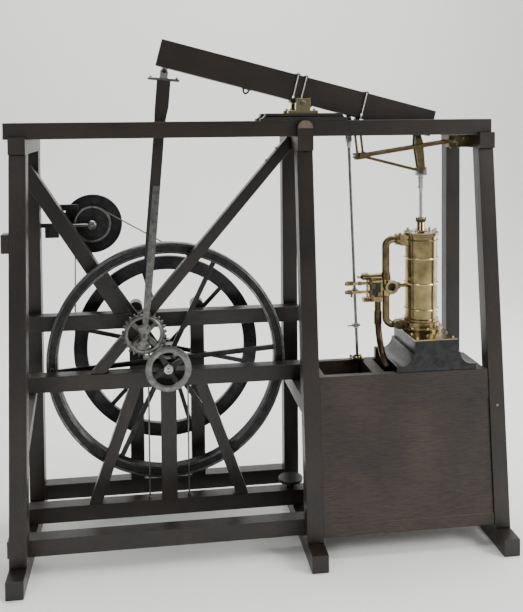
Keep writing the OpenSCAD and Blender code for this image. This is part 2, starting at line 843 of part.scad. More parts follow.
module back_link() {
    block = 9;
    color(brass) translate([back_pin[0], 0, back_pin[1]]) rotate([0, -link_lean, 0]) {
        difference() {
            union() for (s = [-1, 1]) {
                pin_y([0, 0], [s * 6.5 - 1.5, s * 6.5 + 1.5], 5);
                box([-5, 5], [s * 6.5 - 1.5, s * 6.5 + 1.5], [-8, 0]);
            }
            pin_y([0, 0], [-9, 9], pin_r + fit);
        }
        // two round bars between a head and a knee block
        box([-block, block], [-8, 8], [-15, -7]);
        for (x = [-5.2, 5.2]) translate([x, 0, -link_len]) cylinder(h = link_len - 11, r = 2.2);
        box([-block - 2, block], [-8, 8], [-link_len - 6, -link_len + 6]);
        pin_y([0, -link_len], [-11.5, 11.5], pin_r);
    }
}

module parallel_bars() {
    color(brass) for (y = [[-10.8, -8.5], [8.5, 10.8]])
        eye_bar(knee_pin, head_pin, 5, 5, y, pin_r + fit, 0);
}

module radius_bars() {
    color(brass) for (y = [[-15.5, -13], [13, 15.5]])
        eye_bar(knee_pin, bar_pin, 6, 5, y, 0, pin_r + fit);
}

module plug_rod() {
    length = (plug_pin[1] - 240) / cos(plug_lean);
    color(steel) translate([plug_pin[0], 0, plug_pin[1]]) rotate([0, -plug_lean, 0]) {
        difference() {
            union() {
                box([-4, 4], [-8, 8], [-41, 0]);
                pin_y([0, 0], [-8, 8], 5);
            }
            box([-6, 6], [-5, 5], [-36, 6]);
            pin_y([0, 0], [-9, 9], pin_r + fit);
        }
        translate([0, 0, -length]) cylinder(h = length - 40, r = 2.6);
        // tappets, each with a thin wing
        for (z = [318, 382]) {
            box([-7, 7], [-3.5, 3.5], [-z - 2, -z + 2]);
            box([-16, -6], [-1.5, 1.5], [-z - 1, -z + 1]);
        }
    }
}

// Output

sills();
front_posts();
rear_posts();
cross_rails();
top_rails();
front_rails();
rear_rails();
trestle_legs();
tie_rods();
braces();
beam_bearers();
trunnion_bearings();
shaft_bearings();
tank_front();
tank_walls();
tank_planks();
plinth();
steam_cylinder();  // cylinder
cylinder_cover();
upper_pipe();
valve_chest();
valve_levers();
lower_pipe();
exhaust_pipe();
rod_guide();
bar_bracket();
drum_arms();
drive_belt();
round_plate();
beam();
beam_fittings();
connecting_rod();
rod_strap();
planet_wheel();
link_arm();
sun_wheel();
main_shaft();
flywheel();
belt_wheel();
belt_drum();
piston_rod();
main_link();
back_link();
parallel_bars();
radius_bars();
plug_rod();
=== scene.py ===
"""Tabletop beam engine with sun and planet gear, dressed for a studio picture.

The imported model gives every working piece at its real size. This script gives the timber, brass,
iron and steel their finishes, adds the small fastenings and fittings, and sets the studio.
+Z is up, +X towards the cylinder and -Y towards the camera. The fittings are set out in millimetres
and become metres as their meshes are made. Settings, finishes and the studio are in metres.
"""

import json
import math

import bmesh
import bpy
import numpy as np
from mathutils import Matrix


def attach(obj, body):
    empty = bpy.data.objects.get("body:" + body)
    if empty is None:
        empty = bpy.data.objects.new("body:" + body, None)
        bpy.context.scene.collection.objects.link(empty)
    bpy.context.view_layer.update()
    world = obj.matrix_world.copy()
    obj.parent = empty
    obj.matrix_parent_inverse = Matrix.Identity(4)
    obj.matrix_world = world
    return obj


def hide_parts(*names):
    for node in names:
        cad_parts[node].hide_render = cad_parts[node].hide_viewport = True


bl_info = {
    "name": "Model beam engine",
    "version": (1, 0, 0),
    "blender": (4, 5, 0),
    "location": "3D View > Sidebar > Beam engine",
    "description": "Dresses a wooden-framed model beam engine and sets its studio",
    "category": "Object",
}

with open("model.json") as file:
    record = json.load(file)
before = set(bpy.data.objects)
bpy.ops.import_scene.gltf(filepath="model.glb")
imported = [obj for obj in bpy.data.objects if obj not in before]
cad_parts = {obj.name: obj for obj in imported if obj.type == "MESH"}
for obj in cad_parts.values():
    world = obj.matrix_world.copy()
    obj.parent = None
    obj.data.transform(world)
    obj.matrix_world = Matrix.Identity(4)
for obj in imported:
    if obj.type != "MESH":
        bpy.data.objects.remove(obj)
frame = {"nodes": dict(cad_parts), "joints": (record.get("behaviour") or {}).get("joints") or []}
NODES = frame["nodes"]
JOINTS = {joint["name"]: joint for joint in frame["joints"]}
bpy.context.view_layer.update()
MM = 0.001
X, Y, Z = np.eye(3)


def joint_at(name):
    """The rest place of a joint's axis, in mm."""
    return np.array(JOINTS[name]["pos_m"], float) / MM


def corners_of(name):
    """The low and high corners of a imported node's box, in mm to two decimals. They are read before the
    nodes are dressed, because eased edges change the box."""
    box = np.round(np.array(NODES[name].bound_box, float) / MM, 2)
    return box.min(0), box.max(0)


# places in mm, most of them on the joints' axes at rest, and directions
TRUNNION = joint_at("beam_rock")
ROD_PIN = joint_at("rod_swing")
MAIN_PIN = joint_at("main_link_swing")
BACK_PIN = joint_at("back_link_swing")
PLUG_PIN = joint_at("plug_rod_swing")
KNEE_PIN = joint_at("parallel_bar_swing")
BAR_PIN = joint_at("radius_bar_swing")
SHAFT = joint_at("shaft_spin")
PLANET = joint_at("planet_spin")
DRUM = joint_at("drum_spin")
BEAM_ALONG = (MAIN_PIN - ROD_PIN) / np.linalg.norm(MAIN_PIN - ROD_PIN)
BEAM_UP = np.array([-BEAM_ALONG[2], 0.0, BEAM_ALONG[0]])
CROSSHEAD = KNEE_PIN + MAIN_PIN - BACK_PIN
ROD_ALONG = (ROD_PIN - PLANET) / np.linalg.norm(ROD_PIN - PLANET)
ROD_ACROSS = np.array([ROD_ALONG[2], 0.0, -ROD_ALONG[0]])
PLUG_LEAN = math.radians(2.1)
PLUG_DOWN = np.array([math.sin(PLUG_LEAN), 0.0, -math.cos(PLUG_LEAN)])
GUIDE_TOP = corners_of("rod_guide")[1][2]
CYLINDER_FOOT, CYLINDER_TOP = [np.array([CROSSHEAD[0], 0.0, end[2]]) for end in corners_of("cylinder")]
# the place in the valve chest from which its fittings are set out
VALVE = np.array([CROSSHEAD[0] - 68.0, 0.0, 443.5])
FLYWHEEL = SHAFT + sum(corners_of("flywheel"))[1] / 2 * Y
# half the width of the flywheel's rim, and the rim's inner radius and middle
FLYWHEEL_HALF, RIM_INSIDE, RIM_MIDDLE = 10.0, 201.0, 211.0
TIE_RODS_LOW, TIE_RODS_HIGH = corners_of("tie_rods")
BEARING_TOP = corners_of("shaft_bearings")[1][2]
# the lowest and foremost corner of the front posts, how far they lean back, and the right one's middle
POST_FOOT = corners_of("front_posts")[0]
POST_RAKE = math.radians(6.5)
RIGHT_POST = BAR_PIN[0] + 50.5


# Node trees

def linear(code):
    """An sRGB hex colour as linear red, green, blue and alpha: each channel c becomes c / 12.92 below
    0.04045, and ((c + 0.055) / 1.055) to the power 2.4 above it."""
    channels = [int(code[i : i + 2], 16) / 255 for i in (1, 3, 5)]
    return (*[c / 12.92 if c <= 0.04045 else ((c + 0.055) / 1.055) ** 2.4 for c in channels], 1.0)


def add(tree, kind, inputs=None, stops=(), **settings):
    """Adds a node, sets its settings, fills its inputs with values or links, and gives a colour ramp its
    stops of (position, hex colour)."""
    node = tree.nodes.new(kind)
    for key, value in settings.items():
        setattr(node, key, value)
    for key, value in (inputs or {}).items():
        if isinstance(value, bpy.types.NodeSocket):
            tree.links.new(value, node.inputs[key])
        else:
            node.inputs[key].default_value = value
    for number, (position, code) in enumerate(stops):
        element = node.color_ramp.elements[number]
        element.position = position
        element.color = linear(code)
    return node


def new_material(name):
    """An empty material with its output and a Principled shader, as (material, tree, shader)."""
    material = bpy.data.materials.new(name)
    material.use_nodes = True
    tree = material.node_tree
    tree.nodes.clear()
    shader = add(tree, "ShaderNodeBsdfPrincipled")
    add(tree, "ShaderNodeOutputMaterial", {"Surface": shader.outputs["BSDF"]})
    return material, tree, shader


def stained_oak(name, along, dark, light, gloss):
    """Sawn and planed oak, stained nearly black and waxed: fine dark pores drawn out along the grain,
    broad changes of tone some 110 mm apart, and a low sheen that the pores break up.

    Grain is noise on coordinates turned so that their X runs along the board, and pressed 24 times
    across it: at 52 to the metre a streak is about 19 mm long and 0.8 mm wide. Oak's own pores are
    about 0.3 mm wide, too fine to show here, so these are coarser.
    """
    material, tree, shader = new_material(name)
    place = add(tree, "ShaderNodeTexCoord").outputs["Object"]
    turn = (0.0, math.atan2(along[2], math.hypot(along[0], along[1])), -math.atan2(along[1], along[0]))
    board = add(tree, "ShaderNodeVectorRotate", {"Vector": place, "Rotation": turn},
                rotation_type="EULER_XYZ").outputs["Vector"]
    pressed = add(tree, "ShaderNodeMapping", {"Vector": board, "Scale": (1.0, 24.0, 24.0)}).outputs["Vector"]
    grain = add(tree, "ShaderNodeTexNoise",
                {"Vector": pressed, "Scale": 52.0, "Detail": 7.0, "Roughness": 0.66}).outputs["Fac"]
    broad = add(tree, "ShaderNodeTexNoise",
                {"Vector": board, "Scale": 9.0, "Detail": 3.0, "Roughness": 0.5}).outputs["Fac"]
    tone = add(tree, "ShaderNodeMath", {0: grain, 1: 0.62}, operation="MULTIPLY").outputs[0]
    tone = add(tree, "ShaderNodeMath", {0: broad, 1: 0.38, 2: tone}, operation="MULTIPLY_ADD").outputs[0]
    stain = add(tree, "ShaderNodeValToRGB", {"Fac": tone}, [(0.38, dark), (0.64, light)])
    tree.links.new(stain.outputs["Color"], shader.inputs["Base Color"])
    rough = add(tree, "ShaderNodeMapRange",
                {"Value": grain, "From Min": 0.3, "From Max": 0.7, "To Min": gloss + 0.26, "To Max": gloss})
    tree.links.new(rough.outputs[0], shader.inputs["Roughness"])
    pores = add(tree, "ShaderNodeBump", {"Height": grain, "Distance": 0.4 * MM, "Strength": 0.45})
    tree.links.new(pores.outputs["Normal"], shader.inputs["Normal"])
    shader.inputs["IOR"].default_value = 1.5
    return material


def worn_metal(name, dark, light, smooth, mottle, turned_axis=None, metallic=1.0):
    """Machined or cast metal: a slow mottle of tone from handling and tarnish, given in spots to the
    metre, roughness that varies with it, and a fine unevenness of about 1.1 mm. Turned work also has
    rings from the tool, one every 5 mm along its axis: far coarser than real ones, and still faint
    from where the camera stands."""
    material, tree, shader = new_material(name)
    place = add(tree, "ShaderNodeTexCoord").outputs["Object"]
    spots = add(tree, "ShaderNodeTexNoise",
                {"Vector": place, "Scale": mottle, "Detail": 5.0, "Roughness": 0.6}).outputs["Fac"]
    tone = add(tree, "ShaderNodeValToRGB", {"Fac": spots}, [(0.32, dark), (0.66, light)])
    tree.links.new(tone.outputs["Color"], shader.inputs["Base Color"])
    rough = add(tree, "ShaderNodeMapRange",
                {"Value": spots, "From Min": 0.3, "From Max": 0.7, "To Min": smooth + 0.16, "To Max": smooth})
    tree.links.new(rough.outputs[0], shader.inputs["Roughness"])
    height = add(tree, "ShaderNodeTexNoise",
                 {"Vector": place, "Scale": 900.0, "Detail": 2.0}).outputs["Fac"]
    if turned_axis is not None:
        rings = add(tree, "ShaderNodeTexWave", {"Vector": place, "Scale": 62.0, "Distortion": 0.4},
                    wave_type="BANDS", bands_direction=turned_axis).outputs["Fac"]
        height = add(tree, "ShaderNodeMath", {0: rings, 1: 0.6, 2: height},
                     operation="MULTIPLY_ADD").outputs[0]
    relief = add(tree, "ShaderNodeBump", {"Height": height, "Distance": 0.08 * MM, "Strength": 0.22})
    tree.links.new(relief.outputs["Normal"], shader.inputs["Normal"])
    shader.inputs["Metallic"].default_value = metallic
    return material


# Surfaces

def grid_faces(rows, cols, wrap_rows, wrap_cols):
    """Quads between neighbouring points of a rows by cols grid; a wrapped direction meets itself."""
    row = np.arange(rows if wrap_rows else rows - 1)
    col = np.arange(cols if wrap_cols else cols - 1)
    a, b = np.meshgrid(row, col, indexing="ij")
    a2, b2 = (a + 1) % rows, (b + 1) % cols
    return np.stack([a * cols + b, a2 * cols + b, a2 * cols + b2, a * cols + b2], -1).reshape(-1, 4)


def across(axis):
    """Two unit vectors square to axis and to each other."""
    axis = np.asarray(axis, float) / np.linalg.norm(axis)
    side = np.cross(axis, Z if abs(axis[2]) < 0.9 else X)
    side /= np.linalg.norm(side)
    return side, np.cross(axis, side)


def turned(profile, centre, axis, steps=32, start=0.0):
    """A surface of revolution: each (radius, height) of the profile, carried round the axis, so a point
    is centre + height * axis + radius * (cos a * side + sin a * up). The profile starts and ends on
    the axis, or goes back to its first point."""
    profile = np.asarray(profile, float)
    axis = np.asarray(axis, float) / np.linalg.norm(axis)
    side, up = across(axis)
    turn = start + np.arange(steps) * 2 * math.pi / steps
    circle = np.cos(turn)[:, None] * side + np.sin(turn)[:, None] * up
    points = centre + profile[None, :, 1, None] * axis + profile[None, :, 0, None] * circle[:, None, :]
    return points.reshape(-1, 3), grid_faces(steps, len(profile), True, False)


def ring(outline, centre, axis, steps=48):
    """A turned ring: an outline of (radius, height) that goes back to its first point, carried round the
    axis as in turned."""
    return turned([*outline, outline[0]], centre, axis, steps)


def disc(centre, axis, radius, thick, steps=28):
    """A plain round disc, standing on centre along axis."""
    return turned([(0, 0), (radius, 0), (radius, thick), (0, thick)], centre, axis, steps)


def block(low, high, along=X, up=Z, origin=(0, 0, 0), chamfer=0.4):
    """A chamfered block between two corners given on the axes along, depth and up from origin: six rings
    of eight points carried along its length, the first and last drawn in to the middle of an end."""
    low, high = np.asarray(low, float), np.asarray(high, float)
    depth = np.cross(up, along)
    c = min(chamfer, 0.3 * float(np.min(high - low)))
    middle = (low + high) / 2
    ends = [(low[0], None), (low[0], c), (low[0] + c, 0), (high[0] - c, 0), (high[0], c), (high[0], None)]
    rings = []
    for x, inset in ends:
        if inset is None:
            y0, z0 = y1, z1 = middle[1:]
            cut = 0.0
        else:
            y0, y1, z0, z1 = low[1] + inset, high[1] - inset, low[2] + inset, high[2] - inset
            cut = c - inset
        rings.append([(x, y0 + cut, z0), (x, y1 - cut, z0), (x, y1, z0 + cut), (x, y1, z1 - cut),
                      (x, y1 - cut, z1), (x, y0 + cut, z1), (x, y0, z1 - cut), (x, y0, z0 + cut)])
    axes = np.array([along, depth, up], float)
    return np.asarray(origin, float) + np.reshape(rings, (-1, 3)) @ axes, grid_faces(6, 8, False, True)


def tube(path, radius, steps=14):
    """A round tube along a path, closed at both ends: at each point a circle square to the path, its
    frame carried from ring to ring so that it doesn't twist."""
    path = np.asarray(path, float)
    ahead = np.gradient(path, axis=0)
    ahead /= np.linalg.norm(ahead, axis=1)[:, None]
    side = across(ahead[0])[0]
    sides = []
    for direction in ahead:
        side = side - direction * side.dot(direction)
        side /= np.linalg.norm(side)
        sides.append(side)
    sides = np.array(sides)
    ups = np.cross(ahead, sides)
    turn = np.arange(steps) * 2 * math.pi / steps
    circles = np.cos(turn)[None, :, None] * sides[:, None, :] + np.sin(turn)[None, :, None] * ups[:, None, :]
    first, last = np.repeat(path[:1, None], steps, 1), np.repeat(path[-1:, None], steps, 1)
    points = np.concatenate([first, path[:, None, :] + radius * circles, last])
    return points.reshape(-1, 3), grid_faces(len(path) + 2, steps, False, True)


def slab(front, back):
    """A flat plate between two like outlines: each outline closed by a fan from its middle, and a band
    of quads between them."""
    front, back = np.asarray(front, float), np.asarray(back, float)
    n = len(front)
    rings = np.stack([np.repeat(front.mean(0)[None], n, 0), front, back, np.repeat(back.mean(0)[None], n, 0)])
    return rings.reshape(-1, 3), grid_faces(4, n, False, True)


def nut(centre, axis, across_flats, thick, turn=0.0):
    """A hexagon nut with a chamfered outer face, standing on centre along axis."""
    r = across_flats / 2 / math.cos(math.pi / 6)
    return turned([(0, 0), (r, 0), (r, thick * 0.75), (r * 0.82, thick), (0, thick)], centre, axis, 6, turn)


def stud(centre, axis, radius, length):
    """A round bolt end with a softened rim, standing on centre along axis."""
    edge = radius * 0.3
    return turned([(0, 0), (radius, 0), (radius, length - edge), (radius - edge, length), (0, length)],
                  centre, axis, 16)


def bolt(centre, axis, radius):
    """A nut with its bolt end showing through."""
    axis = np.asarray(axis, float)
    return [nut(centre, axis, radius * 3.2, radius * 1.5),
            stud(centre + axis * radius * 1.4, axis, radius, radius)]


def make(name, parts, body, material):
    """Joins closed surfaces given in mm into one mesh in metres that rides on a body: doubles are merged,
    faces turned outwards, and edges under 35 degrees shaded smooth."""
    points, faces, start = [], [], 0
    for part_points, part_faces in parts:
        points.append(part_points * MM)
        faces.extend((part_faces + start).tolist())
        start += len(part_points)
    mesh = bpy.data.meshes.new(name)
    mesh.from_pydata(np.concatenate(points).tolist(), [], faces)
    shell = bmesh.new()
    shell.from_mesh(mesh)
    bmesh.ops.remove_doubles(shell, verts=shell.verts, dist=1e-7)
    bmesh.ops.dissolve_degenerate(shell, dist=1e-7, edges=shell.edges)
    bmesh.ops.recalc_face_normals(shell, faces=shell.faces)
    shell.to_mesh(mesh)
    shell.free()
    mesh.shade_smooth()
    mesh.set_sharp_from_angle(angle=math.radians(35))
    piece = bpy.data.objects.new(name, mesh)
    bpy.context.scene.collection.objects.link(piece)
    mesh.materials.append(material)
    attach(piece, body)
    return piece


# Settings

def colour(name, words, default):
    """A hex colour setting."""
    return bpy.props.StringProperty(name=name, description=words, default=default)


def size(name, words, default):
    """A length setting, in metres."""
    return bpy.props.FloatProperty(name=name, description=words, default=default, unit="LENGTH", min=0.0)


def angle(name, words, degrees):
    """An angle setting, given in degrees."""
    default = math.radians(degrees)
    return bpy.props.FloatProperty(name=name, description=words, default=default, subtype="ANGLE")


class EngineFinish(bpy.types.PropertyGroup):
    oak_dark: colour("Oak, dark", "Pores and hollows of the stained timber", "#030202")
    oak_light: colour("Oak, light", "Raised grain of the stained timber", "#251C15")
    tank_dark: colour("Tank, dark", "Pores of the tank's boards", "#080605")
    tank_light: colour("Tank, light", "Raised grain of the tank's boards", "#3B2E24")
    brass_dark: colour("Brass, dark", "Tarnished spots of the brass", "#6C5F41")
    brass_light: colour("Brass, light", "Clean spots of the brass", "#A6956A")
    iron_dark: colour("Iron, dark", "Hollows of the blacked iron", "#101011")
    iron_light: colour("Iron, light", "Rubbed faces of the blacked iron", "#2B2B2D")
    steel_dark: colour("Steel, dark", "Duller spots of the bright steel", "#A4A4A2")
    steel_light: colour("Steel, light", "Wiped spots of the bright steel", "#C9C9C5")
    cord: colour("Belt", "Round leather belt", "#6B6357")
    edge: size("Timber edge", "Width of the worn edges of the timber", 0.9 * MM)
    metal_edge: size("Metal edge", "Width of the eased edges of metal pieces", 0.3 * MM)


class EngineFittings(bpy.types.PropertyGroup):
    strap_bolt: size("Strap bolt", "Radius of the long bolts on the beam", 1.4 * MM)
    cover_bolt: size("Cover bolt", "Radius of the bolts of the cylinder cover", 1.3 * MM)


class EngineStudio(bpy.types.PropertyGroup):
    lens: bpy.props.FloatProperty(name="Lens", description="Focal length", default=55.61, unit="CAMERA")
    yaw: angle("Yaw", "Turn to the right", 8.014)
    dip: angle("Dip", "Downward tilt", 2.312)
    roll: angle("Roll", "Roll of the camera", 0.491)
    place: bpy.props.FloatVectorProperty(name="Place", description="Where the camera stands",
                                         default=(-0.27467, -1.44375, 0.75727), subtype="TRANSLATION")
    shift: bpy.props.FloatProperty(name="Shift", description="Vertical shift of the frame", default=-0.2973)
    floor: colour("Floor", "Pale floor and backdrop", "#ECECEA")
    room: bpy.props.FloatProperty(name="Room", description="Light of the room's dim side", default=0.16)
    window: bpy.props.FloatProperty(name="Window", description="Light of the room's bright side", default=1.9)


def finish():
    """The settings of the finishes."""
    return bpy.context.scene.engine_finish


def fittings():
    """The settings of the fittings."""
    return bpy.context.scene.engine_fittings


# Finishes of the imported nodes

def material(name):
    """A finish made by an earlier step."""
    return bpy.data.materials[name]


def dress(names, coat, edge):
    """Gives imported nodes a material, joins their loose triangles, and eases edges over 38 degrees."""
    for name in names:
        node = NODES[name]
        node.data.materials.clear()
        node.data.materials.append(coat)
        node.data.shade_smooth()
        node.modifiers.new("Join", "WELD").merge_threshold = 1e-6
        ease = node.modifiers.new("Ease", "BEVEL")
        ease.width = edge
        ease.segments = 2
        ease.limit_method = "ANGLE"
        ease.angle_limit = math.radians(38)
        ease.use_clamp_overlap = True
        node.modifiers.new("Normals", "WEIGHTED_NORMAL").weight = 50


class ENGINE_OT_timber(bpy.types.Operator):
    """Stained oak on the frame, beam and connecting rod, with the grain along each timber"""

    bl_idname = "engine.timber"
    bl_label = "Timber"

    def execute(self, context):
        f = finish()
        timbers = {
            "along X": (X, ["top_rails", "front_rails", "rear_rails", "beam_bearers"]),
            "along Y": (Y, ["sills", "cross_rails"]),
            "upright": (Z, ["front_posts", "rear_posts", "trestle_legs"]),
            "of the beam": (BEAM_ALONG, ["beam"]),
            "of the rod": (ROD_ALONG, ["connecting_rod"]),
            "of the braces": (np.array([0.58, 0.0, 0.81]), ["braces"]),
        }
        for words, (along, names) in timbers.items():
            dress(names, stained_oak("Stained oak " + words, along, f.oak_dark, f.oak_light, 0.27), f.edge)
        # cut across the grain: paler, and dull
        stained_oak("Oak end grain", Z, "#3A312A", "#6A5C4E", 0.45)
        return {"FINISHED"}


class ENGINE_OT_tank(bpy.types.Operator):
    """Stained oak boards of the tank, with open grain along the front"""

    bl_idname = "engine.tank"
    bl_label = "Tank"

    def execute(self, context):
        f = finish()
        for words, along, names in (("X", X, ["tank_front", "tank_walls"]), ("Y", Y, ["tank_planks"])):
            boards = stained_oak("Tank oak along " + words, along, f.tank_dark, f.tank_light, 0.42)
            dress(names, boards, f.edge)
        return {"FINISHED"}


class ENGINE_OT_metal(bpy.types.Operator):
    """Brass, iron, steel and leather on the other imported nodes"""

    bl_idname = "engine.metal"
    bl_label = "Metal"

    def execute(self, context):
        f = finish()
        # each finish: darker and lighter colour, roughness of its clean spots, spots to the metre,
        # and where it differs, the axis of its tool rings and how metallic it is
        finishes = {
            # turned, then handled for years: warm, with slow clouds of tarnish across the shine
            "Turned brass": (f.brass_dark, f.brass_light, 0.14, 22.0, "Z"),
            # rubbed by cloths: the palest and clearest brass; on the cylinder's beads this paleness is a
            # painted highlight
            "Polished brass and painted highlight": ("#B7A87C", "#DDD0A6", 0.14, 40.0),
            # cast and filed: as warm, with a softer shine
            "Cast brass": (f.brass_dark, f.brass_light, 0.18, 40.0),
            # pipes and links that no cloth reaches: brown, with broad highlights
            "Dull brass": ("#4C422C", "#80724E", 0.26, 60.0),
            # browned by steam: nearly black, with a narrow gold line where the light falls
            "Tarnished brass": ("#2C261A", "#5A4E35", 0.24, 50.0),
            # iron under a thin black coat: dark, with a grey sheen on its rubbed faces
            "Blacked cast iron": (f.iron_dark, f.iron_light, 0.26, 70.0, None, 0.5),
            # teeth whose black coat has worn off: mid grey
            "Rubbed cast iron": ("#2C2C2D", "#605F5C", 0.26, 120.0, None, 0.8),
            # filed bright and gone grey again: pale against the black coat; on the flywheel's lips, a painted
            # highlight
            "Filed grey iron": ("#545452", "#7E7E7B", 0.28, 120.0, None, 0.9),
            # bars and nuts with a film of old oil: grey, without clear reflections
            "Dulled steel": ("#555553", "#777774", 0.28, 120.0),
            # wiped and oiled: nearly white where the light falls
            "Bright steel": (f.steel_dark, f.steel_light, 0.2, 90.0),
            # round leather: grey brown and matt
            "Leather belt": (f.cord, f.cord, 0.6, 200.0, None, 0.0),
        }
        for name, values in finishes.items():
            worn_metal(name, *values)
        wearers = {
            "Turned brass": ["cylinder", "cylinder_cover"],
            "Polished brass and painted highlight": ["trunnion_bearings"],
            "Cast brass": ["valve_chest", "valve_levers", "rod_guide"],
            "Dull brass": ["bar_bracket", "main_link", "back_link", "parallel_bars", "radius_bars",
                           "upper_pipe", "lower_pipe"],
            "Tarnished brass": ["exhaust_pipe"],
            "Blacked cast iron": ["shaft_bearings", "plinth", "drum_arms", "round_plate", "beam_fittings",
                                  "link_arm", "sun_wheel", "flywheel", "belt_wheel", "belt_drum"],
            "Rubbed cast iron": ["planet_wheel"],
            "Dulled steel": ["rod_strap", "main_shaft", "plug_rod", "tie_rods"],
            "Bright steel": ["piston_rod"],
            "Leather belt": ["drive_belt"],
        }
        for name, nodes in wearers.items():
            dress(nodes, material(name), f.metal_edge)
        return {"FINISHED"}


# Beam and connecting rod

def on_beam(along, up, depth=0.0):
    """A place given along the beam and up from its trunnion, and back from its middle."""
    return TRUNNION + along * BEAM_ALONG + up * BEAM_UP + depth * Y


def on_rod(across_rod, up, depth, foot=PLANET):
    """A place given across the rod and up along it from a foot on its line, and back from its middle."""
    return foot + across_rod * ROD_ACROSS + up * ROD_ALONG + depth * Y


def rod_plate(outline, front, back, foot=PLANET):
    """A flat plate on the rod, with its outline given across and up the rod."""
    return slab(*[[on_rod(u, v, depth, foot) for u, v in outline] for depth in (front, back)])


class ENGINE_OT_beam_fastenings(bpy.types.Operator):
    """Long bolts through the beam with their plates, a staple under it, nuts of its pins, trunnion ends"""

    bl_idname = "engine.beam_fastenings"
    bl_label = "Beam fastenings"

    def execute(self, context):
        iron = material("Blacked cast iron")
        r = fittings().strap_bolt / MM
        bolts, plates = [], []
        for along, start, length in ((-17.5, 4.6, 47.5), (-2.3, 4.6, 47.5), (113.0, 1.0, 51.0)):
            for side in (-12.9, 12.9):
                bolts.append(stud(on_beam(along, start, side), BEAM_UP, r, length))
                bolts.append(nut(on_beam(along, 50.2, side), BEAM_UP, 3.1 * r, 1.7 * r))
                bolts.append(nut(on_beam(along, 6.6, side), BEAM_UP, 3.1 * r, 1.4 * r))
            place = on_beam(along, 48.6)
            plates.append(block((-3.6, -15.2, 0), (3.6, 15.2, 1.6), BEAM_ALONG, BEAM_UP, place))
        make("beam_bolts", bolts, "beam_body", material("Bright steel"))
        make("beam_straps", plates, "beam_body", iron)
        middle, turn = -101.7, np.linspace(math.pi, 2 * math.pi, 15)
        loop = [on_beam(middle + 5.2 * math.cos(a), 1.0 + 8.2 * math.sin(a)) for a in turn]
        foot = block((-9, -3.5, -1.2), (9, 3.5, 0.2), BEAM_ALONG, BEAM_UP, on_beam(middle, 1.0))
        make("staple", [tube(loop, 1.7, 12), foot], "beam_body", iron)
        nuts = [nut(pin + side * 11.0 * Y, side * Y, 6.4, 2.4, 0.3)
                for pin in (ROD_PIN, MAIN_PIN, BACK_PIN, PLUG_PIN) for side in (-1, 1)]
        make("beam_pin_nuts", nuts, "beam_body", iron)
        end = [(0, 0), (4.6, 0), (4.6, 1.4), (3.8, 2.2), (0, 2.4)]
        ends = [turned(end, TRUNNION + side * 30.5 * Y, side * Y) for side in (-1, 1)]
        make("trunnion_ends", ends, "beam_body", material("Filed grey iron"))
        return {"FINISHED"}


class ENGINE_OT_rod_strap(bpy.types.Operator):
    """Strap down the rod's front, waisted plate with the planet's pin, and the clevis with its T plate"""

    bl_idname = "engine.rod_strap"
    bl_label = "Rod strap"

    def execute(self, context):
        strap = [(-4.5, 16), (4.5, 16), (7.4, 60), (8.4, 270), (-4.6, 270), (-5.6, 60)]
        # the waisted plate: half its width is 5.4 at the waist and 11 at its ends, joined by a smooth
        # step 3 t^2 - 2 t^3, and the ends are rounded by a quarter circle
        up = np.linspace(-22, 22, 45)
        step = np.clip((np.abs(up) - 5) / 9, 0, 1)
        rounding = np.clip((np.abs(up) - 17) / 5, 0, 1)
        half = 5.4 + 5.6 * step**2 * (3 - 2 * step) - 5 * (1 - np.sqrt(1 - rounding**2))
        waisted = [*zip(half, up), *zip(-half[::-1], up[::-1])]
        pin = turned([(0, 0), (7, 0), (7, 14), (6.2, 15.4), (0, 15.4)], PLANET + 2.5 * Y, -Y, 40)
        parts = [rod_plate(strap, -11.0, -9.0), rod_plate(waisted, -12.0, -9.2), pin]
        body = make("rod_strap_plates", parts, "rod_body", material("Dulled steel"))
        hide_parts("rod_strap")
        arc = [(6.4 * math.cos(a), 6.4 * math.sin(a)) for a in np.linspace(0, math.pi, 17)]
        cheek = [(-7, -12), (7, -12), (7, 0), *arc, (-7, 0)]
        parts = [rod_plate(cheek, middle - 2, middle + 2, ROD_PIN) for middle in (-6.5, 6.5)]
        make("rod_clevis", parts, "rod_body", material("Bright steel"))
        parts = [block((-28, -8.5, -16.4), (28, 8.5, -12), ROD_ACROSS, ROD_ALONG, ROD_PIN, 0.8)]
        make("rod_plate", parts, "rod_body", material("Filed grey iron"))
        return {"FINISHED"}


class ENGINE_OT_rod_fastenings(bpy.types.Operator):
    """Bolts of the connecting rod's strap and plates, the end of its pin, and its widened head"""

    bl_idname = "engine.rod_fastenings"
    bl_label = "Rod fastenings"

    def execute(self, context):
        parts = []
        for up in (258, 206, 155, 96, 48):
            parts += bolt(on_rod(1.6 if up > 48 else 0.6, up, -11.0), -Y, 1.5)
        for across_rod in (-7.0, 7.0):
            for up in (-16, 16):
                parts += bolt(on_rod(across_rod, up, -12.0), -Y, 1.9)
        hub = [(0, 0), (5.6, 0), (5.6, 1.4), (4.6, 2.0), (3.4, 2.2), (3.4, 5.0), (2.6, 6.2), (0, 6.6)]
        parts.append(turned(hub, PLANET - 12.6 * Y, -Y, 28))
        for across_rod in (-23, 23):
            for depth in (-4.6, 4.6):
                parts += bolt(on_rod(across_rod, -12.0, depth, ROD_PIN), ROD_ALONG, 1.3)
        make("rod_bolts", parts, "rod_body", material("Filed grey iron"))
        head = [(-11.6, -16.5), (12.4, -16.5), (12.4, -62), (9.4, -82), (8.4, -96), (-10.4, -96),
                (-11.6, -70)]
        make("rod_head", [rod_plate(head, -9.4, 2.4, ROD_PIN)], "rod_body",
             material("Stained oak of the rod"))
        return {"FINISHED"}


# Wheels

